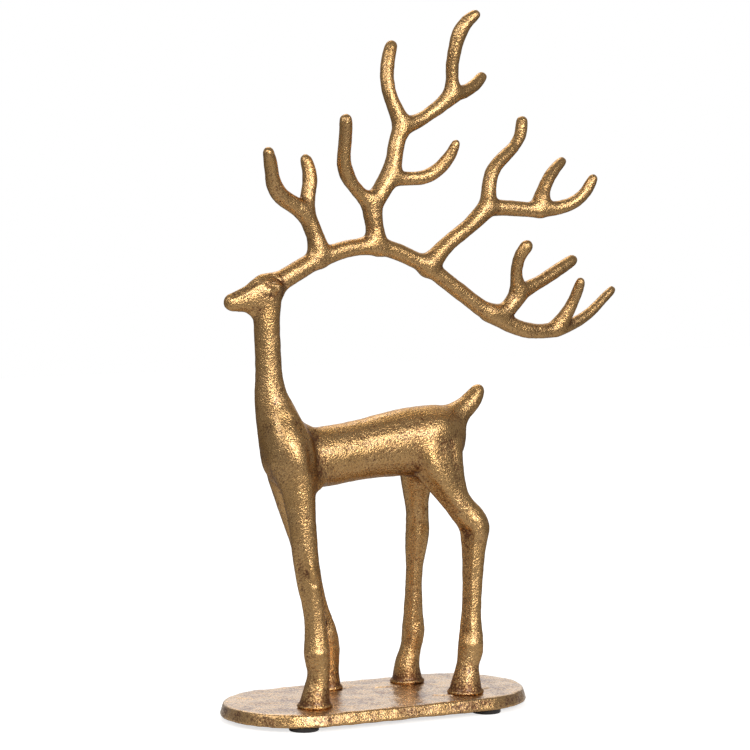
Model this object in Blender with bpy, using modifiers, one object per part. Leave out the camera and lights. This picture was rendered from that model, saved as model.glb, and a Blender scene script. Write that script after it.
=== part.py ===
# A slender cast reindeer with branching antlers on a flat racetrack plinth that stands on four small pads.
# Metres, +Z up, head towards -X. The pads stand on z = 0 and the box round it all is centred on the origin.

import math

import bmesh
import bpy
from mathutils import Matrix, Vector

# Sizes that can be set by themselves, in metres
FIGURE_HEIGHT = 0.3615     # hoof soles to the highest tine
PLATE_LENGTH = 0.174       # underside of the plinth, end to end
PLATE_WIDTH = 0.0824       # underside, across
PLATE_THICKNESS = 0.0066
PLATE_DRAFT = 0.0021       # how far the plinth's side leans out on its way down
PLATE_ROUNDING = 0.0007    # softened casting edge
PAD_DIAMETER = 0.0155
PAD_THICKNESS = 0.002
PAD_MARGIN = 0.001         # from a pad's rim to the edge of the plinth's underside
PAD_FRONT_INSET = 0.030    # along the plinth, from its head end to the middles of the front pads
PAD_BACK_INSET = 0.0375    # from its tail end to the middles of the back pads
SEAT_GAP = 0.0003          # between pieces that rest on each other

# The casting's mesh: the fused lumps are remeshed, rubbed smooth and thinned to this many triangles
FIGURE_TRIANGLES = 8200
CAST_GRAIN = 1.1           # remesh cell, in millimetres of the drawn sheet
SMOOTHING_ROUNDS = 7
CUT_DEPTH = 6              # leg that runs on below the sole before it is cut flat, on the sheet

# The figure is drawn on a sheet in millimetres, from its soles at z = 0, with x = 0 at the plinth's middle
DRAWN_HEIGHT = 361.5
SHEET = FIGURE_HEIGHT / DRAWN_HEIGHT

# Stations of the limbs and trunk on the sheet: x, y, z and radius
HEAD = (
    (-82.3, 0, 210, 5.0), (-76.5, 0, 211, 6.1), (-70.5, 0, 212.3, 7.5), (-65.3, 0, 215, 8.4),
    (-60.5, 0, 216.3, 7.7),
)
NECK = (
    (-60, 0, 217, 6.4), (-62.3, 0, 209, 6.7), (-62.9, 0, 199.5, 6.8), (-62.4, 0, 185, 7.0),
    (-61.8, 0, 172, 7.2), (-60.7, 0, 160, 9.0), (-57.6, 0, 150.5, 11.2), (-54, 0, 138, 13),
    (-50, 0, 127, 14.4), (-46, 0, 124, 14.5),
)
BARREL = (
    (-50, 0, 127, 14.4), (-31, 0, 127.7, 15.9), (-15, 0, 129.5, 15.6), (2, 0, 131.6, 16.6),
    (18.5, 0, 133.3, 17.9), (35, 0, 134.7, 17.6),
)
TAIL = (
    (44, 0, 143, 8.7), (51.6, 0, 148.1, 6.2), (56.7, 0, 151.8, 5.5), (60.5, 0, 156.2, 4.8),
    (61.9, 0, 158.4, 3.9),
)
LEGS = {
    "near_front": (
        (-57, -4, 149, 9.5), (-54.4, -8, 134, 12.9), (-51.7, -11.5, 118, 10.1), (-50.5, -14, 102, 7.5),
        (-49.6, -15, 90, 6.9), (-48.6, -16, 76, 6.6), (-46.9, -17, 62, 6.0), (-44.9, -17.5, 50, 5.3),
        (-43.8, -18, 38, 5.8), (-43.6, -18.5, 27, 6.8), (-42.8, -19, 18.5, 5.7), (-43.5, -19, 12, 6.0),
        (-44.6, -19, 6, 7.1), (-45.1, -19, 0, 8.3),
    ),
    "far_front": (
        (-55, 4, 149, 9.5), (-50, 7.5, 134, 12.2), (-47, 11, 118, 9.8), (-43, 14, 104, 7.5),
        (-37.6, 15.5, 89, 6.8), (-33.6, 16.5, 78, 6.3), (-28.2, 18.5, 57, 5.6), (-23.4, 20, 43, 5.3),
        (-18.6, 21, 31, 5.8), (-16.4, 22, 22.5, 5.8), (-16.4, 22.9, 11, 5.5), (-16, 22.9, 0, 6.4),
    ),
    "near_hind": (
        (31, -5, 136, 14), (33, -9.5, 121, 13), (38.2, -12, 108, 8.8), (44, -14, 98.3, 7.3),
        (51.4, -15.5, 88.3, 8.1), (51.3, -16, 81.5, 7.1), (50.6, -16.5, 75, 6.1), (49.8, -17, 65, 5.4),
        (48.8, -18, 51, 5.1), (47.7, -19, 38.5, 5.3), (47, -20, 26.5, 6.7), (46.5, -20.2, 21, 6.6),
        (45, -20.5, 15, 5.7), (44, -20.7, 7, 7.5), (43.4, -20.7, 0, 8.7),
    ),
    "far_hind": (
        (31, 5, 136, 14), (31.5, 9.5, 121, 12.5), (31.6, 12.5, 106, 7.6), (33.2, 14.5, 92.5, 5.9),
        (34, 16, 83, 6.4), (34, 17, 75, 5.9), (33.4, 18, 65, 4.6), (33.4, 19, 50, 4.4), (33.6, 20, 34, 5.5),
        (34, 20.5, 26, 6.2), (33, 21, 19.5, 5.5), (31.2, 21.1, 13, 6.1), (30.3, 21.1, 7, 7.1),
        (30.6, 21.1, 0, 8.2),
    ),
}

# Rounded masses on the sheet: centre, half sizes along the mass's own axes, and its pitch about y in degrees
MASSES = {
    "rump": ((37.5, 0, 134.5), (15.2, 14.5, 16.8), 0),
    "withers": ((-42.3, 0, 138.9), (13, 8, 7), 28),
    "throat": ((-69.6, 0, 205), (4.8, 4, 3.8), 30),
    "near_armpit": ((-40, -10.5, 115), (5.6, 6, 4.6), 0),
    "fork3_web": ((-0.6, 0, 240.8), (3.4, 3.0, 2.4), 10),
    "antler_root": ((-58, 0, 217.5), (7.5, 5.6, 5.6), -30),
    "near_ear": ((-60.8, -7.2, 217.2), (4.4, 2.0, 2.6), -25),
    "far_ear": ((-56.4, 6.4, 222.3), (5.2, 2.0, 2.5), 20),
}
TRUNK_BREADTH = 0.92       # trunk and neck are a little narrower than they are tall
HEAD_BREADTH = 0.78
RUBBED_OFF = 0.2           # radius that rubbing down takes off a limb, in sheet millimetres

# Antler branches: what each grows from and where along it, its length, its headings in degrees (0 points
# tailwards, 90 up), its leans towards +Y in degrees, and its radii; all three are spread evenly to the tip
ANTLER = {
    "beam": (
        None, 0, 225, (32, 13, -24, -39, -23, 16, 46), (0, 0, 0, 3, 8),
        (5.1, 4.5, 4.3, 4.3, 4.2, 4.3, 3.2, 2.4),
    ),
    "fork1_stem": ("beam", 0.10, 25, (88, 113, 115), (0, 0), (5.6, 4.4, 4.4)),
    "fork1_front": ("fork1_stem", 1, 46, (146, 153, 106, 115), (-5, -25), (4.4, 4.5, 3.8, 3.1)),
    "fork1_back": ("fork1_stem", 1, 29, (85, 73, 111), (5, 15), (4.2, 3.8, 3.8, 3.2)),
    "fork2_stem": ("beam", 0.26, 23, (108, 92), (0, 0), (5.2, 4.6, 5.2)),
    "fork2_front": ("fork2_stem", 1, 53, (146, 133, 89, 101), (-5, -18), (4.2, 3.4, 3.9, 3.3, 3.5)),
    "fork2_rise": ("fork2_stem", 1, 46, (49, 60, 82, 53), (0, 5), (5.0, 4.9, 4.2, 4.6)),
    "crown_front": ("fork2_rise", 1, 45, (118, 111, 82, 63), (5, 14), (4.8, 3.6, 3.6, 3.4)),
    "crown_back": ("fork2_rise", 1, 34, (13, 33, 42), (0, -6), (4.8, 3.4, 3.7, 4.6)),
    "crown_back_tip": ("crown_back", 1, 46, (105, 89, 75, 30), (-6, -12), (3.7, 3.2, 3.6, 3.9, 2.9)),
    "crown_back_spur": ("crown_back", 1, 24, (3, 46), (10, 20), (3.9, 3.3, 3.0)),
    "fork2_spur": ("fork2_rise", 0.38, 45, (-11, 3, 46, 79), (-8, -20), (4.2, 3.5, 3.7, 3.4, 2.6)),
    "fork3_stem": ("beam", 0.40, 49, (53, 32, 43), (0, 4), (5.6, 4.2, 4.1, 4.9)),
    "fork3_front": ("fork3_stem", 1, 57, (83, 77, 32, 43, 86), (8, 14), (4.2, 3.8, 3.6, 3.1, 3.4)),
    "fork3_back": ("fork3_stem", 1, 68, (-1, -6, 14, 74), (-4, -12), (4.3, 4.0, 3.9, 3.4, 2.8)),
    "fork3_back_spur": ("fork3_back", 0.46, 34, (86, 51, 32), (10, 18), (4.8, 3.6, 3.3, 2.7)),
    "fork4_stem": ("beam", 0.60, 24, (-28, 42, 60), (0, -5), (5.2, 4.4, 4.9)),
    "fork4_front": ("fork4_stem", 1, 28, (122, 94, 54), (-12, -22), (3.7, 3.1, 3.5)),
    "fork4_back": ("fork4_stem", 1, 41, (19, 25, 25), (6, 14), (4.2, 3.4, 3.6, 3.2)),
    "fork5_spur": ("beam", 0.80, 30, (51, 85), (-14, -20), (4.6, 3.2, 2.7)),
}
BEAM_ROOT = (-53, 0, 221.4)
BRANCH_STEPS = 16
STEPS_PER_STATION = 2

# Roundness of the raw shapes
BALL_SEGMENTS = 20
BALL_RINGS = 12
TUBE_SEGMENTS = 5          # curve points between the quarter turns round a limb
TUBE_STEPS = 6             # curve points from one station to the next
PLATE_SEGMENTS = 64
PAD_SEGMENTS = 32
EDGE_ANGLE = 40            # degrees; sharper edges than this are softened on the plinth

# Metal, pad: base colour (linear), metallic, roughness
FINISHES = {
    "antique_gold": ((0.42, 0.24, 0.07, 1), 1.0, 0.42),
    "black_felt": ((0.012, 0.012, 0.012, 1), 0.0, 0.9),
}


def clear_scene():
    for obj in list(bpy.data.objects):
        bpy.data.objects.remove(obj, do_unlink=True)


def finish_material(name):
    colour, metallic, roughness = FINISHES[name]
    material = bpy.data.materials.new(name)
    material.use_nodes = True
    shader = material.node_tree.nodes["Principled BSDF"]
    shader.inputs["Base Color"].default_value = colour
    shader.inputs["Metallic"].default_value = metallic
    shader.inputs["Roughness"].default_value = roughness
    return material


def new_object(name, data, collection):
    obj = bpy.data.objects.new(name, data)
    collection.objects.link(obj)
    return obj


def spread(values, share):
    """The value at a share of the way through evenly spread values."""
    place = min(max(share, 0), 1) * (len(values) - 1)
    low = min(int(place), len(values) - 2)
    return values[low] + (values[low + 1] - values[low]) * (place - low)


def evaluated_mesh(obj):
    """A welded copy of the object's shape with its modifiers, and the object removed."""
    mesh = bpy.data.meshes.new_from_object(obj.evaluated_get(bpy.context.evaluated_depsgraph_get()))
    bm = bmesh.new()
    bm.from_mesh(mesh)
    bmesh.ops.remove_doubles(bm, verts=bm.verts, dist=1e-6)
    bm.to_mesh(mesh)
    bm.free()
    bpy.data.objects.remove(obj, do_unlink=True)
    return mesh


def add_ball(lump, centre, sizes, pitch=0):
    """A ball or an egg on the sheet, added to the lump."""
    turn = Matrix.Rotation(math.radians(pitch), 4, "Y")
    stretch = Matrix.Diagonal([size * SHEET for size in sizes] + [1])
    place = Matrix.Translation(Vector(centre) * SHEET) @ turn @ stretch
    ball = bmesh.new()
    bmesh.ops.create_uvsphere(ball, u_segments=BALL_SEGMENTS, v_segments=BALL_RINGS, radius=1, matrix=place)
    mesh = bpy.data.meshes.new("ball")
    ball.to_mesh(mesh)
    ball.free()
    lump.from_mesh(mesh)
    bpy.data.meshes.remove(mesh)


def add_tube(lump, stations, collection, breadth=1):
    """A round-ended tube on a smooth curve through x, y, z, radius stations, added to the lump."""
    curve = bpy.data.curves.new("tube", "CURVE")
    curve.dimensions = "3D"
    curve.bevel_depth = SHEET
    curve.bevel_resolution = TUBE_SEGMENTS
    curve.resolution_u = TUBE_STEPS
    curve.use_fill_caps = True
    spline = curve.splines.new("BEZIER")
    spline.radius_interpolation = "CARDINAL"
    spline.bezier_points.add(len(stations) - 1)
    for point, (x, y, z, radius) in zip(spline.bezier_points, stations):
        point.co = Vector((x, y, z)) * SHEET
        point.radius = radius + RUBBED_OFF
        point.handle_left_type = point.handle_right_type = "AUTO"
    mesh = evaluated_mesh(new_object("tube", curve, collection))
    mesh.transform(Matrix.Diagonal((1, breadth, 1, 1)))
    lump.from_mesh(mesh)
    for x, y, z, radius in (stations[0], stations[-1]):
        full = radius + RUBBED_OFF
        add_ball(lump, (x, y * breadth, z), (full, full * breadth, full))


def branch_points(start, length, headings, leans):
    """A branch's centre line, grown step by step along its headings and leans."""
    points = [Vector(start)]
    for step in range(BRANCH_STEPS):
        share = (step + 0.5) / BRANCH_STEPS
        heading = math.radians(spread(headings, share))
        lean = math.radians(spread(leans, share))
        flat = math.cos(lean)
        ahead = Vector((math.cos(heading) * flat, math.sin(lean), math.sin(heading) * flat))
        points.append(points[-1] + ahead * (length / BRANCH_STEPS))
    return points


def point_along(points, share):
    place = share * (len(points) - 1)
    low = min(int(place), len(points) - 2)
    return points[low].lerp(points[low + 1], place - low)


def add_antler(lump, collection):
    grown = {}
    for name, (parent, share, length, headings, leans, radii) in ANTLER.items():
        start = point_along(grown[parent], share) if parent else BEAM_ROOT
        grown[name] = branch_points(start, length, headings, leans)
        stations = [
            (*grown[name][step], spread(radii, step / BRANCH_STEPS))
            for step in range(0, BRANCH_STEPS + 1, STEPS_PER_STATION)
        ]
        add_tube(lump, stations, collection)


def cut_soles(mesh):
    """Cuts the legs flat where they stand on the plinth."""
    bm = bmesh.new()
    bm.from_mesh(mesh)
    everything = bm.verts[:] + bm.edges[:] + bm.faces[:]
    cut = bmesh.ops.bisect_plane(
        bm, geom=everything, dist=1e-7, plane_co=(0, 0, 0), plane_no=(0, 0, 1), clear_inner=True
    )
    rims = [item for item in cut["geom_cut"] if isinstance(item, bmesh.types.BMEdge)]
    bmesh.ops.holes_fill(bm, edges=rims, sides=0)
    bmesh.ops.recalc_face_normals(bm, faces=bm.faces)
    bm.to_mesh(mesh)
    bm.free()


def make_figure(collection, material):
    """The deer, one casting from hooves to tines, standing on z = 0 of its own sheet."""
    lump = bmesh.new()
    add_tube(lump, HEAD, collection, HEAD_BREADTH)
    add_tube(lump, NECK, collection, TRUNK_BREADTH)
    add_tube(lump, BARREL, collection, TRUNK_BREADTH)
    add_tube(lump, TAIL, collection)
    for stations in LEGS.values():
        x, y, z, radius = stations[-1]
        add_tube(lump, stations + ((x, y, z - CUT_DEPTH, radius),), collection)
    for centre, sizes, pitch in MASSES.values():
        add_ball(lump, centre, sizes, pitch)
    add_antler(lump, collection)
    mesh = bpy.data.meshes.new("fused_lumps")
    lump.to_mesh(mesh)
    lump.free()

    casting = new_object("casting", mesh, collection)
    remesh = casting.modifiers.new("Fuse", "REMESH")
    remesh.mode = "VOXEL"
    remesh.voxel_size = CAST_GRAIN * SHEET
    smooth = casting.modifiers.new("Rub down", "SMOOTH")
    smooth.factor = 0.5
    smooth.iterations = SMOOTHING_ROUNDS
    fine = evaluated_mesh(casting)
    casting = new_object("casting", fine, collection)
    thin = casting.modifiers.new("Thin", "DECIMATE")
    thin.ratio = FIGURE_TRIANGLES / sum(len(face.vertices) - 2 for face in fine.polygons)
    mesh = evaluated_mesh(casting)
    cut_soles(mesh)
    mesh.materials.clear()
    mesh.materials.append(material)
    mesh.shade_smooth()
    return new_object("deer_figure", mesh, collection)


def make_plate(collection, material):
    """The plinth: a drafted round slab, pulled apart along x into a racetrack, with softened edges."""
    mesh = bpy.data.meshes.new("base_plate")
    bm = bmesh.new()
    bottom = PLATE_WIDTH / 2
    bmesh.ops.create_cone(
        bm, cap_ends=True, segments=PLATE_SEGMENTS, radius1=bottom, radius2=bottom - PLATE_DRAFT,
        depth=PLATE_THICKNESS, matrix=Matrix.Rotation(math.pi / PLATE_SEGMENTS, 4, "Z"),
    )
    pull = (PLATE_LENGTH - PLATE_WIDTH) / 2
    for vert in bm.verts:
        vert.co.x += math.copysign(pull, vert.co.x)
    bm.to_mesh(mesh)
    bm.free()
    mesh.materials.append(material)
    mesh.shade_smooth()
    mesh.set_sharp_from_angle(angle=math.radians(EDGE_ANGLE))
    plate = new_object("base_plate", mesh, collection)
    bevel = plate.modifiers.new("Soft edges", "BEVEL")
    bevel.width = PLATE_ROUNDING
    bevel.segments = 2
    bevel.limit_method = "ANGLE"
    bevel.angle_limit = math.radians(EDGE_ANGLE)
    return plate


def make_pads(collection, material):
    mesh = bpy.data.meshes.new("felt_pad")
    bm = bmesh.new()
    bmesh.ops.create_cone(
        bm, cap_ends=True, segments=PAD_SEGMENTS, radius1=PAD_DIAMETER / 2, radius2=PAD_DIAMETER / 2,
        depth=PAD_THICKNESS,
    )
    bm.to_mesh(mesh)
    bm.free()
    mesh.materials.append(material)
    reach = (PLATE_WIDTH - PAD_DIAMETER) / 2 - PAD_MARGIN
    straight = (PLATE_LENGTH - PLATE_WIDTH) / 2
    plate_end = PLATE_LENGTH / 2
    pads = []
    for end, x in (("front", PAD_FRONT_INSET - plate_end), ("back", plate_end - PAD_BACK_INSET)):
        along_the_round = max(abs(x) - straight, 0)
        across = math.sqrt(max(reach ** 2 - along_the_round ** 2, 0))
        for side, y in (("near", -across), ("far", across)):
            pad = new_object(f"felt_pad_{end}_{side}", mesh, collection)
            pad.location = (x, y, PAD_THICKNESS / 2)
            pads.append(pad)
    return pads


def span_along_x(objects):
    bpy.context.view_layer.update()
    reach = [(obj.matrix_world @ vert.co).x for obj in objects for vert in obj.data.vertices]
    return min(reach), max(reach)


def main():
    clear_scene()
    collection = bpy.data.collections.new("reindeer_figurine")
    bpy.context.scene.collection.children.link(collection)
    gold = finish_material("antique_gold")
    felt = finish_material("black_felt")

    plate_bottom = PAD_THICKNESS + SEAT_GAP
    pads = make_pads(collection, felt)
    plate = make_plate(collection, gold)
    plate.location.z = plate_bottom + PLATE_THICKNESS / 2
    figure = make_figure(collection, gold)
    figure.location.z = plate_bottom + PLATE_THICKNESS + SEAT_GAP

    # The last tine reaches far past the plinth, so the pieces move back together until their box is centred
    centre = new_object("figurine_centre", None, collection)
    low, high = span_along_x([figure, plate])
    for obj in [figure, plate, *pads]:
        obj.parent = centre
    centre.location.x = -(low + high) / 2


main()
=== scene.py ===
# %% [markdown]
# A cast reindeer figurine, finished in antiqued gold leaf
#
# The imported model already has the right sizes. It comes in first and stays where it is, and each piece
# made here takes the place of one of its nodes. What is missing on it is what a hand and a foundry leave:
# filed flats, ears, weld beads, sandy grain, and gold leaf rubbed over a brown ground.

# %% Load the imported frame
import math

import bpy
import numpy as np
from mathutils import Matrix, Vector


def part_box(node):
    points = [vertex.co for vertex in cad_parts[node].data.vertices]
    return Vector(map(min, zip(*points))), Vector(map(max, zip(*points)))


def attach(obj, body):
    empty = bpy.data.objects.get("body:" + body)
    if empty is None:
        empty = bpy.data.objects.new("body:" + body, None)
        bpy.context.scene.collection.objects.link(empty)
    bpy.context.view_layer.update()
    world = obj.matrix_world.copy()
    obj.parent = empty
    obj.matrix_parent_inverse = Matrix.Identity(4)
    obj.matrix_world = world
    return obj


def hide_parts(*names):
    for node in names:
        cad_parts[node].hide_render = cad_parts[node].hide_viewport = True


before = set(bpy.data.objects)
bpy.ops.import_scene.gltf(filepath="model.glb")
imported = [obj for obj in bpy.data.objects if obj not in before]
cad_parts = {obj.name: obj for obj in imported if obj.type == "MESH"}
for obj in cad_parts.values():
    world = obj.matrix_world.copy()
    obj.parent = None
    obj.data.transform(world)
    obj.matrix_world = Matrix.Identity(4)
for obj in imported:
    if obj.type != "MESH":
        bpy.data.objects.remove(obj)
bpy.ops.object.select_all(action="DESELECT")
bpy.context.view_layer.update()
print("packed nodes:", sorted(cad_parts))

# %% [markdown]
# All lengths below are written in millimetres, as a foundry would, and turned into Blender's metres in
# one place. The plinth's top is the level everything is built up from, so it is read from the packed
# plinth.

# %% Millimetres and levels
MM = 0.001
TOUCHING_MM = 0.01      # two points closer than this count as one
PLINTH_LOW, PLINTH_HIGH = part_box("base_plate")
PLINTH_TOP = PLINTH_HIGH.z / MM
PLINTH_MIDDLE = (PLINTH_LOW.x + PLINTH_HIGH.x) / 2 / MM
print(f"plinth top {PLINTH_TOP:.1f} mm, middle {PLINTH_MIDDLE:.1f} mm")

# %% [markdown]
# The camera comes first, because the filed flats and the lamps are placed by it. It stands 1.6 m off, a
# little above the plinth and turned towards the head, with a long lens, so the near hooves look only
# slightly larger.

# %% Camera
CAMERA_TURN = -27.5     # degrees round from the figurine's near side, towards its head
CAMERA_RISE = 4.9       # degrees above level
CAMERA_DISTANCE = 1600 * MM
AIM_HEIGHT = 178.6
CAMERA_AIM = Vector((PLINTH_MIDDLE, 0, AIM_HEIGHT)) * MM
LENS_MM = 145.9


def direction(turn, rise):
    """The way to something that stands turn degrees round from the near side and rise degrees up."""
    turn, rise = math.radians(turn), math.radians(rise)
    return Vector((math.sin(turn) * math.cos(rise), -math.cos(turn) * math.cos(rise), math.sin(rise)))


def aim(thing, way, distance, at=CAMERA_AIM):
    """Puts a camera or a lamp out along a direction, looking back."""
    thing.location = at + way * distance
    thing.rotation_euler = way.to_track_quat("Z", "Y").to_euler()


bpy.ops.object.camera_add()
camera = bpy.context.object
camera.data.lens = LENS_MM
aim(camera, direction(CAMERA_TURN, CAMERA_RISE), CAMERA_DISTANCE)
bpy.context.scene.camera = camera
print("camera at", [round(v, 3) for v in camera.location])

# %% [markdown]
# A few small helpers for modelling. One makes a single thing selected and active, as a click would. One
# adds a modifier and applies it, so that every finished piece is plain mesh. The last thins a fine mesh
# out and shades it smooth, because a library part has a limit on its triangles.

# %% Helpers for selecting and for modifiers
def select_only(piece):
    bpy.ops.object.select_all(action="DESELECT")
    piece.select_set(True)
    bpy.context.view_layer.objects.active = piece


def apply_modifier(piece, kind, **settings):
    select_only(piece)
    bpy.ops.object.modifier_add(type=kind)
    modifier = piece.modifiers[-1]
    for name, value in settings.items():
        setattr(modifier, name, value)
    bpy.ops.object.modifier_apply(modifier=modifier.name)


def triangles(piece):
    return sum(len(face.vertices) - 2 for face in piece.data.polygons)


def thin_out(piece, most):
    apply_modifier(piece, "DECIMATE", ratio=min(1, most / triangles(piece)))
    select_only(piece)
    bpy.ops.object.shade_smooth()


# %% [markdown]
# The deer. On the real piece the whole animal is one sand casting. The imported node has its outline, but
# as loose triangles some 4 mm long, so a copy is welded, rounded by one subdivision, and left open to
# more shaping.

# %% Copy and weld the deer
deer = bpy.data.objects.new("gold_deer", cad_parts["deer_figure"].data.copy())
bpy.context.scene.collection.objects.link(deer)
select_only(deer)
bpy.ops.object.mode_set(mode="EDIT")
bpy.ops.mesh.select_all(action="SELECT")
bpy.ops.mesh.remove_doubles(threshold=TOUCHING_MM * MM)
bpy.ops.object.mode_set(mode="OBJECT")
apply_modifier(deer, "SUBSURF", levels=1, render_levels=1)
print("welded deer:", triangles(deer), "triangles")

# %% [markdown]
# The hooves of the real piece are welded down, and a rough bead runs round each one. Every bead is a
# small torus, laid on the plinth and joined to the deer before everything is fused, so that it melts into
# the hoof.

# %% Weld beads round the hooves
HOOVES = {                      # middle of each sole and its radius along x and y, in millimetres
    "near_front": (-77.9, -19.0, 8.6, 8.0),
    "far_front": (-48.9, 22.9, 6.8, 6.4),
    "near_hind": (10.6, -20.7, 9.0, 8.4),
    "far_hind": (-2.3, 21.1, 8.6, 8.0),
}
BEAD_MM = 0.9                   # half the bead's thickness

beads = []
for x, y, half_x, half_y in HOOVES.values():
    bpy.ops.mesh.primitive_torus_add(
        location=(x * MM, y * MM, (PLINTH_TOP + BEAD_MM) * MM), major_radius=1,
        minor_radius=BEAD_MM / half_x, major_segments=40, minor_segments=10,
    )
    bead = bpy.context.object
    bead.scale = (half_x * MM, half_y * MM, half_x * MM)
    bpy.ops.object.transform_apply(location=True, rotation=True, scale=True)
    beads.append(bead)
select_only(deer)
for bead in beads:
    bead.select_set(True)
bpy.ops.object.join()
print("deer with", len(beads), "weld beads:", triangles(deer), "triangles")

# %% [markdown]
# A voxel remesh fuses the casting and the beads into one skin of even small faces, fine enough to carve.
# A few rounds of smoothing take its steps away. Smoothing shrinks thin limbs, so a plain Displace, which
# has no texture, swells the whole surface back by what was lost.

# %% Fuse and round the casting
VOXEL_MM = 0.65
SWELL_MM = 0.2
apply_modifier(deer, "REMESH", mode="VOXEL", voxel_size=VOXEL_MM * MM)
apply_modifier(deer, "SMOOTH", factor=0.5, iterations=6)
apply_modifier(deer, "DISPLACE", strength=SWELL_MM * MM, mid_level=0)
print("fused deer:", triangles(deer), "triangles")

# %% [markdown]
# Sculpt brushes need a window, so three short functions do what a hand would do here. brush presses or
# raises a soft band along a path. rub takes bumps and creases away near a path. work_ridge is the file:
# beside an edge line it takes the surface down to two flats, which meet in a crisp ridge. They move all
# vertices at once as arrays, which keeps them fast on a fine mesh.

# %% Reading and moving all vertices
def surface(piece):
    """Places and outward directions of all the piece's vertices, as arrays of metres."""
    count = len(piece.data.vertices)
    places = np.empty(count * 3)
    outward = np.empty(count * 3)
    piece.data.vertices.foreach_get("co", places)
    piece.data.vertices.foreach_get("normal", outward)
    return places.reshape(-1, 3), outward.reshape(-1, 3)


def put_back(piece, places):
    piece.data.vertices.foreach_set("co", places.ravel())
    piece.data.update()


def row_dot(rows, others):
    return np.sum(rows * others, axis=1)


def unit_rows(rows):
    return rows / np.linalg.norm(rows, axis=1, keepdims=True)


# %% Following a path
def follow(places, path):
    """For each place: how far away the path is, its nearest point, its way there, and how far along that is.

    The path is given in millimetres. Its whole length comes last.
    """
    path = np.array(path, float) * MM
    bends = unit_rows(np.gradient(path, axis=0))
    best = np.full(len(places), np.inf)
    nearest = np.zeros_like(places)
    ways = np.zeros_like(places)
    along = np.zeros(len(places))
    walked = 0
    for i, (start, end) in enumerate(zip(path[:-1], path[1:])):
        step = end - start
        length = np.linalg.norm(step)
        share = np.clip((places - start) @ step / length**2, 0, 1)
        spot = start + share[:, None] * step
        away = np.linalg.norm(places - spot, axis=1)
        closer = away < best
        best[closer] = away[closer]
        nearest[closer] = spot[closer]
        ways[closer] = (bends[i] + share[closer, None] * (bends[i + 1] - bends[i]))
        along[closer] = walked + share[closer] * length
        walked += length
    return best, nearest, unit_rows(ways), along, walked


# %% The brush and the rubbing cloth
def brush(piece, path, width, height):
    """Raises a soft band of the surface along a path, or presses it in where height is below zero."""
    places, outward = surface(piece)
    away = follow(places, path)[0]
    strength = np.clip(1 - (away / (width * MM)) ** 2, 0, 1) ** 2
    put_back(piece, places + outward * (strength * height * MM)[:, None])


def rub(piece, path, reach, rounds):
    """Rubs the surface smooth near a path: each vertex moves towards the middle of its neighbours.

    A round has its full strength up to half the reach, and none past one and a half times the reach.
    """
    places, _ = surface(piece)
    share = 0.5 * np.clip(1.5 - follow(places, path)[0] / (reach * MM), 0, 1)
    edges = np.empty(len(piece.data.edges) * 2, int)
    piece.data.edges.foreach_get("vertices", edges)
    ends, others = edges.reshape(-1, 2)[share[edges].reshape(-1, 2).max(axis=1) > 0].T
    ends, others = np.concatenate([ends, others]), np.concatenate([others, ends])
    moving = np.flatnonzero(share)
    count = np.bincount(ends, minlength=len(places))[moving]
    for _ in range(rounds):
        for axis in range(3):
            middle = np.bincount(ends, places[others, axis], len(places))[moving] / count
            places[moving, axis] += share[moving] * (middle - places[moving, axis])
    put_back(piece, places)


# %% The file
RIM_SHARE = 0.35        # the outer part of a flat's reach, in which it fades into the round limb
TURNED_AWAY = 0.1       # a spot whose outward direction agrees less than this with a flat's is left alone


def work_ridge(piece, edge, facings, reaches, share=1.0, fade=5.0, hold=3.0):
    """Files the surface on either side of an edge line down to a flat that faces a given way.

    A share below 1 stops short of the flat. The work fades in over a length at the edge line's ends, and it
    leaves alone what stands out further than hold.
    """
    places, outward = surface(piece)
    _, nearest, ways, along, length = follow(places, edge)
    offset = places - nearest
    normals = []
    for way in facings:
        way = np.array(way)
        normals.append(unit_rows(way - (ways @ way)[:, None] * ways))
    middle = unit_rows(normals[0] + normals[1])
    across = []
    for normal in normals:
        sideways = np.cross(ways, normal)
        sideways *= -np.sign(row_dot(sideways, middle))[:, None]
        across.append(row_dot(offset, sideways))
    ends = np.clip(np.minimum(along, length - along) / (fade * MM), 0, 1)
    shift = np.zeros_like(places)
    for i in (0, 1):
        height = np.maximum(row_dot(offset, normals[i]), 0)
        rim = np.clip((reaches[i] * MM - across[i]) / (RIM_SHARE * reaches[i] * MM), 0, 1)
        near = np.clip(2 - height / (hold * MM), 0, 1) * (row_dot(outward, normals[i]) > TURNED_AWAY)
        own = across[i] >= across[1 - i]
        shift -= (height * share * rim * near * ends * own)[:, None] * normals[i]
    put_back(piece, places + shift)


# %% [markdown]
# The two sides of the animal are carved alike, so most paths are written once, for a side that is then
# named. Directions are given as seen from the near side, like the camera's: degrees round and degrees up.

# %% The near and the far side
NEAR, FAR = -1, 1


def on_side(side, path):
    """Points given as x, distance from the middle plane, z, put on the near or the far side."""
    return [(x, side * y, z) for x, y, z in path]


def facing(turn, rise, side=NEAR):
    """A direction as seen on the near side, mirrored when it is for the far side."""
    way = direction(turn, rise)
    return Vector((way.x, -side * way.y, way.z))


# %% [markdown]
# The head is a plain wedge on the real piece, with no eyes. A sharp ridge runs from the muzzle to the ear
# on each side, with the forehead sloping up from it and a flat cheek below. A small ear is laid back at
# each side of the antler's root, with a groove in front of it and a hollow behind.

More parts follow.
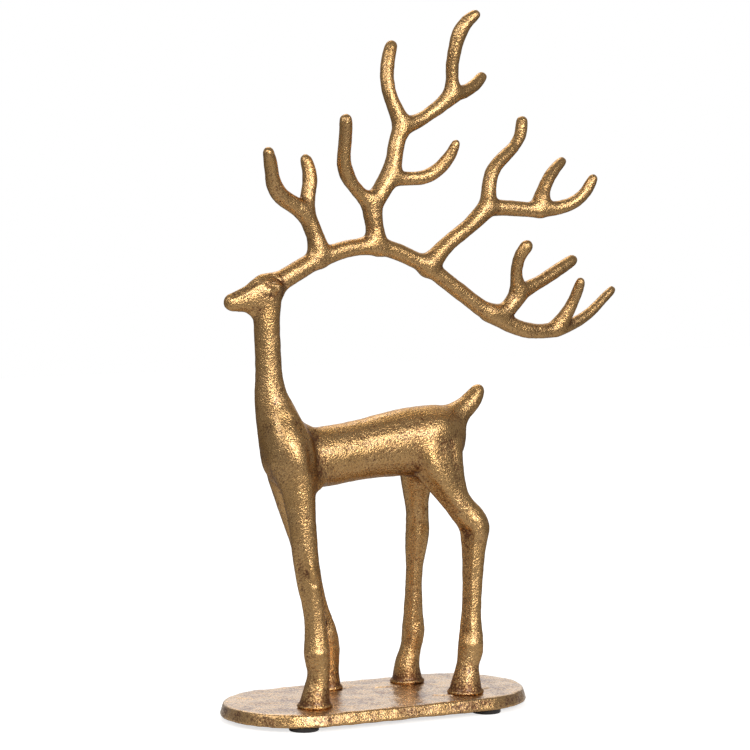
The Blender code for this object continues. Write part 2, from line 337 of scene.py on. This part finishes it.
# %% Carve the head
FACE_RIDGE = [
    (-116.8, 3.6, 220.9), (-112.6, 3.9, 222.5), (-108.4, 4.5, 224.5), (-104.1, 5.0, 226.9),
    (-100.4, 5.6, 229.1),
]
FOREHEAD_FACING = (-20, 62)
CHEEK_FACING = (-34, -6)
CHEEK = [(-110, 4.6, 219.6), (-105, 5.6, 221), (-101, 6.4, 223)]
BEFORE_EAR = [(-98.0, 6.6, 228.6), (-97.2, 7.9, 225.6), (-96.2, 7.6, 222.6)]
EAR = [(-95.4, 7.4, 228.2), (-93.4, 8.6, 227.4), (-93.2, 9.0, 225.4)]
BEHIND_EAR = [(-89.3, 5.4, 229.4), (-87.0, 4.8, 226.6), (-88.6, 4.6, 223.0)]
TOP_OF_HEAD = [(-98.5, 0, 233.2), (-92, 0, 234)]
ROOT_RIM = [(-94.9, -1.8, 233.0), (-91.9, -2.8, 232.6), (-89.6, -4.2, 230.6)]

for side in (NEAR, FAR):
    flats = (facing(*FOREHEAD_FACING, side), facing(*CHEEK_FACING, side))
    work_ridge(deer, on_side(side, FACE_RIDGE), flats, reaches=(4.5, 8), share=0.85, fade=2.5)
    rub(deer, on_side(side, CHEEK), reach=3, rounds=40)
    brush(deer, on_side(side, FACE_RIDGE[1:]), width=1.3, height=0.25)
    brush(deer, on_side(side, BEFORE_EAR), width=1.9, height=-0.7)
    brush(deer, on_side(side, EAR), width=2.4, height=0.6)
    brush(deer, on_side(side, BEHIND_EAR), width=2.8, height=-0.5)
brush(deer, TOP_OF_HEAD, width=4.5, height=0.8)
brush(deer, ROOT_RIM, width=1.5, height=0.5)
print("head carved")

# %% [markdown]
# Where two tines meet, the wax or wood they were first shaped in was pressed together by hand. The fork
# is filled out like webbing and its middle bulges a little, which is why the forks on the real piece
# catch the light as bright knots. Rubbing fills the crotch of each fork, and a brush stroke then swells
# its middle.

# %% Fill out the antler's forks
FORKS = [                       # x and z of each fork's middle
    (-67.4, 246.3), (-75.4, 264.6), (-36.7, 248.3), (-37.5, 270.8), (-23.3, 283.6), (-18.0, 310.2),
    (12.8, 328.1), (-3.7, 239.2), (33.9, 267.1), (66.6, 269.9), (39.0, 212.0), (52.2, 223.0),
]
ANTLER_Y = -1
HALF_STROKE = 0.5               # each stroke is a dab, half a millimetre either way
for x, z in FORKS:
    fork = [(x, ANTLER_Y, z - HALF_STROKE), (x, ANTLER_Y, z + HALF_STROKE)]
    rub(deer, fork, reach=5.5, rounds=50)
    brush(deer, fork, width=8.5, height=0.9)
print("forks filled:", len(FORKS))

# %% [markdown]
# The trunk. A soft ridge runs down each shoulder with a hollow behind it. The haunch was filed to a flat
# that looks back towards the tail, the rump and the hip stand out beside it, and a groove marks off the
# thigh. The armpit and the haunch are rubbed, because a figure's big forms flow into each other without a
# crease.

# %% Carve the trunk and the haunches
TRUNK_LINE = [(-98, 0, 190), (-95, 0, 165), (-80, 0, 145), (-40, 0, 143), (10, 0, 145)]
ARMPIT = [(-74.5, 14.0, 126), (-66.0, 12.0, 128)]
HAUNCH_EDGE = [
    (-8, 16.5, 153), (-9, 17.8, 143), (-7.5, 19, 134), (-2, 20, 124), (5, 20.4, 113), (12.5, 21.3, 104),
]
FLANK_FACING = (0, 0)
HAUNCH_FACING = (18, 3)
RUMP = [(17, 4, 150), (18, 4, 138), (19, 4, 126), (22, 5, 116)]
HAUNCH = [(-4, 17, 146), (4, 16, 144), (10, 13, 140), (9, 14, 128), (2, 18, 124)]
HIP = [(10, 15, 139), (11, 15, 131), (14, 15, 122)]

rub(deer, TRUNK_LINE, reach=20, rounds=40)
for side in (NEAR, FAR):
    flats = (facing(*FLANK_FACING, side), facing(*HAUNCH_FACING, side))
    rub(deer, on_side(side, ARMPIT), reach=8, rounds=150)
    work_ridge(deer, on_side(side, HAUNCH_EDGE), flats, reaches=(1, 22), share=0.6, fade=8, hold=9)
    brush(deer, on_side(side, RUMP), width=9, height=0.9)
    rub(deer, on_side(side, HAUNCH), reach=10, rounds=140)
    brush(deer, on_side(side, HIP), width=8, height=1.2)
print("haunches carved")

# %% Carve the shoulders and the thigh grooves
SHOULDER = [(-94.5, 15.5, 153), (-92.0, 18.6, 146), (-87.8, 21, 137)]
BEHIND_SHOULDER = [(-84.2, 14.5, 156.5), (-81.0, 18.8, 147), (-79.4, 19.8, 133)]
THIGH_GROOVE = [(-9.7, 12.7, 123.0), (-5.7, 16.3, 119.5), (0.2, 16.6, 112.3), (5.3, 18.3, 105.8)]

for side in (NEAR, FAR):
    brush(deer, on_side(side, SHOULDER), width=8, height=0.8)
    brush(deer, on_side(side, BEHIND_SHOULDER), width=5.5, height=-0.8)
    brush(deer, on_side(side, THIGH_GROOVE), width=4, height=-0.6)
print("shoulders carved")

# %% [markdown]
# The legs were filed too. A flat on the side towards the head meets one towards the viewer in a rough
# ridge, and each leg has its own pair, because they lean different ways. The knee, the hock and the
# fetlocks above the near hooves stand out as small lumps, brushed on after the filing.

# %% File the legs
NEAR_FRONT_EDGE = [
    (-83.2, -22.0, 95), (-82.3, -22.6, 85.6), (-81.3, -22.8, 71),
    (-80.4, -22.4, 60.5), (-80.0, -22.6, 50), (-80.2, -22.6, 41),
]
NEAR_HIND_EDGE = [
    (15.6, -22.6, 98), (14.9, -22.0, 88), (14.4, -21.8, 80), (13.8, -22.0, 69.3), (13.4, -22.8, 58.8),
    (12.2, -23.8, 48.3), (12.0, -25.6, 38),
]
FAR_HIND_EDGE = [
    (-1.9, 10.4, 100), (-1.9, 10.4, 90.4), (-1.1, 13.0, 76.5), (-1.4, 14.7, 62.7), (-1.8, 15.0, 49.1),
    (-2.8, 15.5, 38.2),
]
FAR_FRONT_EDGE = [
    (-71.0, 9.8, 97), (-66.0, 12.0, 81), (-60.6, 14.4, 66), (-55.4, 16.4, 52), (-51.0, 17.0, 40),
]
work_ridge(deer, NEAR_FRONT_EDGE, (facing(-60, 0), facing(-4, 0)), reaches=(9, 5), share=0.75, fade=14)
work_ridge(deer, NEAR_HIND_EDGE, (facing(-72, 0), facing(-8, 0)), reaches=(9, 5), share=0.8)
work_ridge(deer, FAR_HIND_EDGE, (facing(-60, 0), facing(0, 0)), reaches=(7, 7), share=0.5)
work_ridge(deer, FAR_FRONT_EDGE, (facing(-66, 0), facing(10, 0)), reaches=(6, 6), share=0.6)
print("legs filed")

# %% Knee, hock and fetlocks
KNEE = [(-81.7, -22.7, 83.0), (-80.2, -22.9, 78.4)]
UNDER_KNEE = [(-84.0, -21.0, 80.0), (-82.0, -22.0, 76.0), (-79.8, -22.8, 73.6)]
FRONT_FETLOCK = [(-82.6, -22.6, 37.4), (-78, -24.8, 37.2), (-74.2, -24.6, 38.2)]
HOCK = [(17.4, -23.0, 101), (18.6, -23.6, 94)]
HIND_FETLOCK = [(9.4, -25.0, 35.4), (13, -26.6, 35.3), (16.2, -26.4, 35.1)]

brush(deer, KNEE, width=3.4, height=0.8)
brush(deer, UNDER_KNEE, width=2.0, height=-0.5)
brush(deer, FRONT_FETLOCK, width=3.0, height=0.5)
brush(deer, HOCK, width=4.5, height=0.6)
brush(deer, HIND_FETLOCK, width=3.0, height=0.4)
print("leg lumps brushed")

# %% [markdown]
# A sand casting is never even. Two passes of Displace with a cloud texture give it the slow lumps that
# fingers would feel, some 6 mm across, and the coarse grains of the mould, nearly 2 mm across. The finer
# grains follow in the material, where they cost no faces.

# %% Lumps and grain of the casting
DEER_TRIANGLES = 190_000


def cloud(name, size_mm, depth):
    texture = bpy.data.textures.new(name, "CLOUDS")
    texture.noise_scale = size_mm * MM
    texture.noise_depth = depth
    texture.noise_basis = "ORIGINAL_PERLIN"
    return texture


def roughen(piece, name, size_mm, height_mm):
    apply_modifier(
        piece, "DISPLACE", texture=cloud(name, size_mm, depth=2), texture_coords="LOCAL",
        strength=height_mm * MM, mid_level=0.5,
    )


roughen(deer, "casting lumps", size_mm=6, height_mm=0.55)
roughen(deer, "mould grain", size_mm=1.9, height_mm=0.24)
thin_out(deer, DEER_TRIANGLES)
print("grained deer:", triangles(deer), "triangles")

# %% [markdown]
# The plinth is a second casting: a flat slab with round ends, whose side leans in towards the top. It
# starts as a cone cut off near its base. Each half is pulled away in edit mode, so the ends stay true
# half rounds.

# %% Model the plinth
PLINTH_LENGTH = (PLINTH_HIGH.x - PLINTH_LOW.x) / MM
PLINTH_WIDTH = (PLINTH_HIGH.y - PLINTH_LOW.y) / MM
PLINTH_THICKNESS = (PLINTH_HIGH.z - PLINTH_LOW.z) / MM
DRAFT_MM = 2.1                  # how far the side leans in
PLINTH_ROUNDING_MM = 0.9
PLINTH_VOXEL_MM = 0.6
SHARP = math.radians(40)        # edges that turn by more than this are rounded


def select_vertices(piece, wanted):
    """Selects, in edit mode, the vertices whose place in millimetres passes the test."""
    bpy.ops.object.mode_set(mode="EDIT")
    bpy.ops.mesh.select_all(action="DESELECT")
    bpy.ops.mesh.select_mode(type="VERT")
    bpy.ops.object.mode_set(mode="OBJECT")
    for vertex in piece.data.vertices:
        vertex.select = wanted(vertex.co / MM)
    bpy.ops.object.mode_set(mode="EDIT")


bpy.ops.mesh.primitive_cone_add(
    vertices=128, radius1=PLINTH_WIDTH / 2 * MM, radius2=(PLINTH_WIDTH / 2 - DRAFT_MM) * MM,
    depth=PLINTH_THICKNESS * MM,
)
plinth = bpy.context.object
plinth.name = "gold_plinth"
half_pull = (PLINTH_LENGTH - PLINTH_WIDTH) / 2
for way in (-1, 1):
    select_vertices(plinth, lambda place: place.x * way > TOUCHING_MM)
    bpy.ops.transform.translate(value=(way * half_pull * MM, 0, 0))
    bpy.ops.object.mode_set(mode="OBJECT")
plinth.location = (PLINTH_LOW + PLINTH_HIGH) / 2
select_only(plinth)
bpy.ops.object.transform_apply(location=True, rotation=True, scale=True)
apply_modifier(
    plinth, "BEVEL", width=PLINTH_ROUNDING_MM * MM, segments=3, limit_method="ANGLE", angle_limit=SHARP,
)
apply_modifier(plinth, "REMESH", mode="VOXEL", voxel_size=PLINTH_VOXEL_MM * MM)
apply_modifier(plinth, "SMOOTH", factor=0.5, iterations=4)
print("plinth:", triangles(plinth), "triangles")

# %% [markdown]
# The plinth's top isn't flat: it has smears of weld metal beside the hooves, broad waves, and sandy
# grain. The smears are brushed on first, so that the waves and the grain run over them as over the rest.

# %% Weld smears and grain of the plinth
SMEARS = [
    [(-42.0, 20.5, PLINTH_TOP), (-36.0, 22.0, PLINTH_TOP)],
    [(-24.0, 14.5, PLINTH_TOP), (-12.0, 12.5, PLINTH_TOP), (-4.0, 12.5, PLINTH_TOP)],
    [(-7.0, -19.0, PLINTH_TOP), (0.5, -24.5, PLINTH_TOP)],
    [(20.0, -17.0, PLINTH_TOP), (28.0, -14.0, PLINTH_TOP), (31.0, -8.0, PLINTH_TOP)],
]
PLINTH_TRIANGLES = 150_000
for smear in SMEARS:
    brush(plinth, smear, width=2.0, height=0.5)
roughen(plinth, "plinth waves", size_mm=9, height_mm=0.9)
roughen(plinth, "plinth grain", size_mm=2.0, height_mm=0.26)
thin_out(plinth, PLINTH_TRIANGLES)
print("grained plinth:", triangles(plinth), "triangles")

# %% [markdown]
# Four round stick-on felt pads keep the metal off the table. Each is a thin disc with a softened rim,
# modelled once at the first pad's place and copied to the others.

# %% Model the felt pads
PAD_NODES = sorted(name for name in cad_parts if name.startswith("felt_pad"))
PAD_ROUNDING_MM = 0.5
SHADED_SMOOTH = math.radians(35)    # edges that turn by less than this are shaded smooth

first_low, first_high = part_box(PAD_NODES[0])
bpy.ops.mesh.primitive_cylinder_add(
    vertices=64, radius=(first_high.x - first_low.x) / 2, depth=first_high.z - first_low.z,
    location=(first_low + first_high) / 2,
)
pad = bpy.context.object
bpy.ops.object.transform_apply(location=True, rotation=True, scale=True)
apply_modifier(
    pad, "BEVEL", width=PAD_ROUNDING_MM * MM, segments=4, limit_method="ANGLE", angle_limit=SHARP,
)
bpy.ops.object.shade_smooth_by_angle(angle=SHADED_SMOOTH)
pads = []
for node in PAD_NODES:
    low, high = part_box(node)
    disc = bpy.data.objects.new(node.replace("felt_pad", "felt_disc"), pad.data.copy())
    disc.data.transform(Matrix.Translation((low + high - first_low - first_high) / 2))
    bpy.context.scene.collection.objects.link(disc)
    pads.append(disc)
bpy.data.objects.remove(pad)
print("pads:", [disc.name for disc in pads])

# %% [markdown]
# The brown ground of an antique finish stays in the hollows, where the rubbing cloth doesn't reach. How
# hollow each spot is shows by comparing the surface with a smoothed copy of it. Near the plinth, the hooves
# and pasterns get more brown as painted shade: a value given for the deer adds to their depth, most at the
# plinth and fading out above it. The depth, with that painted shade in it, is kept on the mesh as an
# attribute that the gold reads, so it stays with the piece wherever it is used.

# %% Mark the hollows
# Painted shade: the brown added low on the legs fades out over this height above the plinth.
PAINTED_SHADE_HEIGHT_MM = 16             # painted_shade_low_down fades out over this height above the plinth


def mark_hollows_and_painted_shade(piece, rounds, painted_shade_low_down=0.0):
    places, outward = surface(piece)
    smooth_copy = bpy.data.objects.new("smooth_copy", piece.data.copy())
    bpy.context.scene.collection.objects.link(smooth_copy)
    apply_modifier(smooth_copy, "SMOOTH", factor=0.8, iterations=rounds)
    smoothed, _ = surface(smooth_copy)
    depth = row_dot(smoothed - places, outward) / MM
    # Painted shade: more brown low on the legs, fading out above the plinth.
    depth += painted_shade_low_down * np.clip(1 - (places[:, 2] / MM - PLINTH_TOP) / PAINTED_SHADE_HEIGHT_MM, 0, 1)
    bpy.data.objects.remove(smooth_copy)
    piece.data.attributes.new("hollow_and_painted_shade", "FLOAT", "POINT").data.foreach_set("value", depth)
    proud, deep = np.percentile(depth, (2, 98))
    print(f"{piece.name}: hollows from {proud:.2f} to {deep:.2f} mm")


# The deer gets painted shade low on its legs. The plinth gets only its hollows.
mark_hollows_and_painted_shade(deer, rounds=40, painted_shade_low_down=0.7)
mark_hollows_and_painted_shade(plinth, rounds=20)

# %% [markdown]
# Colours are picked as sRGB hex values, the way a paint card gives them, and one function turns them into
# the linear numbers that shaders work in. A second small function adds a node with its settings and
# links.

# %% Colour and node helpers
def paint(hex_colour):
    channels = [int(hex_colour[i:i + 2], 16) / 255 for i in (1, 3, 5)]
    return [c / 12.92 if c <= 0.04045 else ((c + 0.055) / 1.055) ** 2.4 for c in channels] + [1]


def add_node(tree, kind, settings=None, inputs=None):
    """Adds a node, sets its properties and fills its inputs with values or with other nodes' outputs."""
    node = tree.nodes.new(kind)
    for name, value in (settings or {}).items():
        setattr(node, name, value)
    for key, value in (inputs or {}).items():
        if isinstance(value, bpy.types.NodeSocket):
            tree.links.new(value, node.inputs[key])
        else:
            node.inputs[key].default_value = value
    return node


# %% [markdown]
# The finish is gold leaf over a brown ground on sand-cast aluminium, then rubbed back. The leaf shines warm
# and soft, and each grain of the mould throws its own small highlight, so the light breaks up into sparkle.
# The pits between the grains keep the brown, and so do the hollows and, here and there, a blotch. Low on the
# deer's legs, near the plinth, more brown is added as painted shade. The mould's grains are 0.5 to 1 mm, so
# they are drawn a little coarser than real, to show as more than one pixel.
#
# A thin coat of lacquer mirrors pale surroundings at shallow angles. Clean metal would go white there,
# but leaf over a brown ground doesn't, so the deer's Specular Tint is a pale brown. The plinth is
# flatter, more worn and more thickly lacquered: its relief is lower, its blotches are stronger and it
# keeps the white.

# %% Antiqued gold leaf
LEAF = paint("#D2A262")
LEAF_RUBBED = paint("#E8BE85")
GROUND = paint("#7D5333")
LEAF_ROUGHNESS = 0.26
GROUND_ROUGHNESS = 0.44
LACQUER_ROUGHNESS = 0.25
GRAIN_MM = 0.85
CRACKLE_MM = 1.2
CRACKLE_SHARE = 0.45            # how deep the crackle cuts into the grain
BLOTCH_MM = 11
PROUD_MM, HOLLOW_MM = -0.25, 0.45   # depths at which the rubbing takes the most and the least of the ground


def gold_leaf(name, relief_mm, lacquer, patchiness, rim_colour):
    material = bpy.data.materials.new(name)
    material.use_nodes = True
    tree = material.node_tree
    shader = tree.nodes["Principled BSDF"]
    place = add_node(tree, "ShaderNodeTexCoord").outputs["Object"]
    hollow_and_painted_shade = add_node(tree, "ShaderNodeAttribute", {"attribute_name": "hollow_and_painted_shade"}).outputs["Fac"]
    grain = add_node(
        tree, "ShaderNodeTexNoise",
        inputs={"Vector": place, "Scale": 1 / (GRAIN_MM * MM), "Detail": 2.0, "Roughness": 0.6},
    )
    crackle = add_node(
        tree, "ShaderNodeTexVoronoi", {"feature": "SMOOTH_F1"},
        {"Vector": place, "Scale": 1 / (CRACKLE_MM * MM), "Smoothness": 0.3},
    )
    blotch = add_node(
        tree, "ShaderNodeTexNoise", inputs={"Vector": place, "Scale": 1 / (BLOTCH_MM * MM), "Detail": 3.0},
    )
    relief = add_node(
        tree, "ShaderNodeMath", {"operation": "MULTIPLY_ADD"},
        {0: crackle.outputs["Distance"], 1: -CRACKLE_SHARE, 2: grain.outputs["Fac"]},
    )
    # The attribute also holds the painted shade low on the deer's legs, so this puts brown there too.
    in_hollows_and_painted_shade = add_node(
        tree, "ShaderNodeMapRange",
        inputs={
            "Value": hollow_and_painted_shade, "From Min": PROUD_MM, "From Max": HOLLOW_MM,
            "To Min": -0.16, "To Max": 0.24,
        },
    )
    in_blotches = add_node(
        tree, "ShaderNodeMapRange",
        inputs={
            "Value": blotch.outputs["Fac"], "From Min": 0.3, "From Max": 0.7,
            "To Min": -patchiness, "To Max": patchiness,
        },
    )
    covered = add_node(
        tree, "ShaderNodeMath", {"operation": "ADD"},
        {0: in_hollows_and_painted_shade.outputs["Result"], 1: in_blotches.outputs["Result"]},
    )
    level = add_node(
        tree, "ShaderNodeMath", {"operation": "SUBTRACT"}, {0: covered.outputs[0], 1: relief.outputs[0]},
    )
    ground = add_node(
        tree, "ShaderNodeMapRange",
        inputs={"Value": level.outputs[0], "From Min": -0.42, "From Max": -0.08},
    )
    leaf = add_node(
        tree, "ShaderNodeMix", {"data_type": "RGBA"},
        {"Factor": blotch.outputs["Fac"], "A": LEAF, "B": LEAF_RUBBED},
    )
    colour = add_node(
        tree, "ShaderNodeMix", {"data_type": "RGBA"},
        {"Factor": ground.outputs["Result"], "A": leaf.outputs["Result"], "B": GROUND},
    )
    roughness = add_node(
        tree, "ShaderNodeMapRange",
        inputs={"Value": ground.outputs["Result"], "To Min": LEAF_ROUGHNESS, "To Max": GROUND_ROUGHNESS},
    )
    bump = add_node(
        tree, "ShaderNodeBump",
        inputs={"Strength": 1.0, "Distance": relief_mm * MM, "Height": relief.outputs[0]},
    )
    tree.links.new(colour.outputs["Result"], shader.inputs["Base Color"])
    tree.links.new(roughness.outputs["Result"], shader.inputs["Roughness"])
    tree.links.new(bump.outputs["Normal"], shader.inputs["Normal"])
    shader.inputs["Metallic"].default_value = 1.0
    shader.inputs["Specular Tint"].default_value = paint(rim_colour)
    shader.inputs["Coat Weight"].default_value = lacquer
    shader.inputs["Coat Roughness"].default_value = LACQUER_ROUGHNESS
    return material


deer_gold = gold_leaf(
    "antiqued_gold_leaf", relief_mm=0.32, lacquer=0.5, patchiness=0.06, rim_colour="#C8AC8E",
)
plinth_gold = gold_leaf(
    "scuffed_gold_leaf", relief_mm=0.24, lacquer=0.85, patchiness=0.2, rim_colour="#FFFFFF",
)
print("gold leaf:", deer_gold.name, plinth_gold.name)

# %% [markdown]
# The pads are dark needle felt: no shine, a fuzzy sheen, and fibres about a third of a millimetre thick,
# which is coarser than real ones, so that they show.

# %% Felt
FELT = paint("#1C1A19")
FELT_FIBRE = paint("#3A3634")
FIBRE_MM = 0.35
FUZZ_MM = 0.2
felt = bpy.data.materials.new("needle_felt")
felt.use_nodes = True
tree = felt.node_tree
shader = tree.nodes["Principled BSDF"]
place = add_node(tree, "ShaderNodeTexCoord").outputs["Object"]
fibres = add_node(
    tree, "ShaderNodeTexNoise", inputs={"Vector": place, "Scale": 1 / (FIBRE_MM * MM), "Detail": 2.0},
)
tone = add_node(
    tree, "ShaderNodeMix", {"data_type": "RGBA"},
    {"Factor": fibres.outputs["Fac"], "A": FELT, "B": FELT_FIBRE},
)
fuzz = add_node(
    tree, "ShaderNodeBump",
    inputs={"Strength": 0.7, "Distance": FUZZ_MM * MM, "Height": fibres.outputs["Fac"]},
)
tree.links.new(tone.outputs["Result"], shader.inputs["Base Color"])
tree.links.new(fuzz.outputs["Normal"], shader.inputs["Normal"])
shader.inputs["Roughness"].default_value = 0.95
shader.inputs["Sheen Weight"].default_value = 0.3

for piece, material in [(deer, deer_gold), (plinth, plinth_gold), *[(disc, felt) for disc in pads]]:
    piece.data.materials.clear()
    piece.data.materials.append(material)
    print(piece.name, "wears", material.name)

# %% [markdown]
# The studio. A white paper sweep runs under the figurine. To the camera it has a painted glow, an emission
# that only camera rays see, stronger further out, so it fades into the white behind. Its colour darkens
# further out, a painted pool of light around the figurine, so that the limbs don't mirror a bright floor all
# the way to the horizon.
#
# A wide softbox stands in front, brighter in the middle where its bulb is. A second softbox lights the
# left side, and a weak one fills in from behind. The sides of the room stay dark, which draws the brown
# rims along the limbs. The lit backdrop behind ends at the table's edge, and shows as a pale sheen on the
# back and on the plinth's top.

# %% Floor
# Painted pool of light: the paper's colour is lighter near the middle and darker further out.
PAPER_IN_PAINTED_LIGHT = paint("#D6D4D0")
PAPER_IN_PAINTED_SHADE = paint("#8C8A86")
PAINTED_LIGHT_FADES = (0.15, 0.55)    # metres from the middle
OVEREXPOSED = (0.08, 0.30)      # metres from the middle
bpy.ops.mesh.primitive_plane_add(size=4)
floor = bpy.context.object
floor.name = "studio_floor"
sweep = bpy.data.materials.new("white_sweep")
sweep.use_nodes = True
tree = sweep.node_tree
shader = tree.nodes["Principled BSDF"]
shader.inputs["Roughness"].default_value = 0.9
shader.inputs["Emission Color"].default_value = paint("#FFFFFF")
place = add_node(tree, "ShaderNodeTexCoord").outputs["Object"]
distance = add_node(tree, "ShaderNodeVectorMath", {"operation": "LENGTH"}, {0: place})
out_of_light = add_node(
    tree, "ShaderNodeMapRange", {"interpolation_type": "SMOOTHSTEP"},
    {"Value": distance.outputs["Value"], "From Min": PAINTED_LIGHT_FADES[0], "From Max": PAINTED_LIGHT_FADES[1]},
)
paper_painted_light = add_node(
    tree, "ShaderNodeMix", {"data_type": "RGBA"},
    {"Factor": out_of_light.outputs["Result"], "A": PAPER_IN_PAINTED_LIGHT, "B": PAPER_IN_PAINTED_SHADE},
)
tree.links.new(paper_painted_light.outputs["Result"], shader.inputs["Base Color"])
# Painted glow: the paper emits for camera rays only, weaker near the middle and full further out.
overexposed = add_node(
    tree, "ShaderNodeMapRange", {"interpolation_type": "SMOOTHSTEP"},
    {
        "Value": distance.outputs["Value"], "From Min": OVEREXPOSED[0], "From Max": OVEREXPOSED[1],
        "To Min": 0.70, "To Max": 1.0,
    },
)
seen = add_node(tree, "ShaderNodeLightPath").outputs["Is Camera Ray"]
glow = add_node(
    tree, "ShaderNodeMath", {"operation": "MULTIPLY"}, {0: overexposed.outputs["Result"], 1: seen},
)
tree.links.new(glow.outputs[0], shader.inputs["Emission Strength"])
floor.data.materials.append(sweep)
print("floor of", sweep.name)

# %% Lamps
LAMPS = {                       # degrees round, degrees up, metres away, width and height in metres, watts
    "front_softbox": (3, 22, 1.5, 1.15, 0.5, 10),
    "bulb_behind_softbox": (-12, 20, 1.45, 0.4, 0.35, 2.6),
    "left_softbox": (-72, 36, 1.5, 0.6, 0.6, 4.8),
    "back_fill": (165, 45, 1.8, 0.6, 0.6, 4),
}
for name, (turn, rise, distance, width, height, watts) in LAMPS.items():
    bpy.ops.object.light_add(type="AREA")
    lamp = bpy.context.object
    lamp.name = name
    lamp.data.shape = "RECTANGLE"
    lamp.data.size = width
    lamp.data.size_y = height
    lamp.data.energy = watts
    aim(lamp, direction(turn, rise), distance)
print("lamps:", list(LAMPS))

# %% Surroundings
BACKDROP_WAY = direction(CAMERA_TURN + 180, 22)
ROOM_LIGHT, BACKDROP_LIGHT = 0.27, 1.0
world = bpy.data.worlds.new("studio")
bpy.context.scene.world = world
world.use_nodes = True
tree = world.node_tree
room = tree.nodes["Background"]
room.inputs["Color"].default_value = paint("#FFFFFF")
way = add_node(tree, "ShaderNodeTexCoord").outputs["Generated"]
toward_backdrop = add_node(
    tree, "ShaderNodeVectorMath", {"operation": "DOT_PRODUCT"}, {0: way, 1: BACKDROP_WAY},
)
spread = add_node(
    tree, "ShaderNodeMapRange", {"interpolation_type": "SMOOTHSTEP"},
    {"Value": toward_backdrop.outputs["Value"], "From Min": 0.80, "From Max": 0.97, "To Max": 1.0},
)
rise = add_node(tree, "ShaderNodeSeparateXYZ", inputs={"Vector": way}).outputs["Z"]
above_table = add_node(
    tree, "ShaderNodeMapRange", {"interpolation_type": "SMOOTHSTEP"},
    {"Value": rise, "From Min": -0.03, "From Max": 0.09},
)
lit = add_node(
    tree, "ShaderNodeMath", {"operation": "MULTIPLY"},
    {0: spread.outputs["Result"], 1: above_table.outputs["Result"]},
)
backdrop = add_node(
    tree, "ShaderNodeMapRange",
    inputs={"Value": lit.outputs[0], "To Min": ROOM_LIGHT, "To Max": BACKDROP_LIGHT},
)
seen = add_node(tree, "ShaderNodeLightPath").outputs["Is Camera Ray"]
level = add_node(
    tree, "ShaderNodeMix", {"data_type": "FLOAT"},
    {"Factor": seen, "A": backdrop.outputs["Result"], "B": BACKDROP_LIGHT},
)
tree.links.new(level.outputs["Result"], room.inputs["Strength"])
bpy.context.scene.view_settings.view_transform = "Standard"
print("studio ready")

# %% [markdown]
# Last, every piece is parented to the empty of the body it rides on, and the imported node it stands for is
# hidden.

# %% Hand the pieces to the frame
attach(deer, "root")
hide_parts("deer_figure")
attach(plinth, "root")
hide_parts("base_plate")
for disc, node in zip(pads, PAD_NODES):
    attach(disc, "root")
    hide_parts(node)
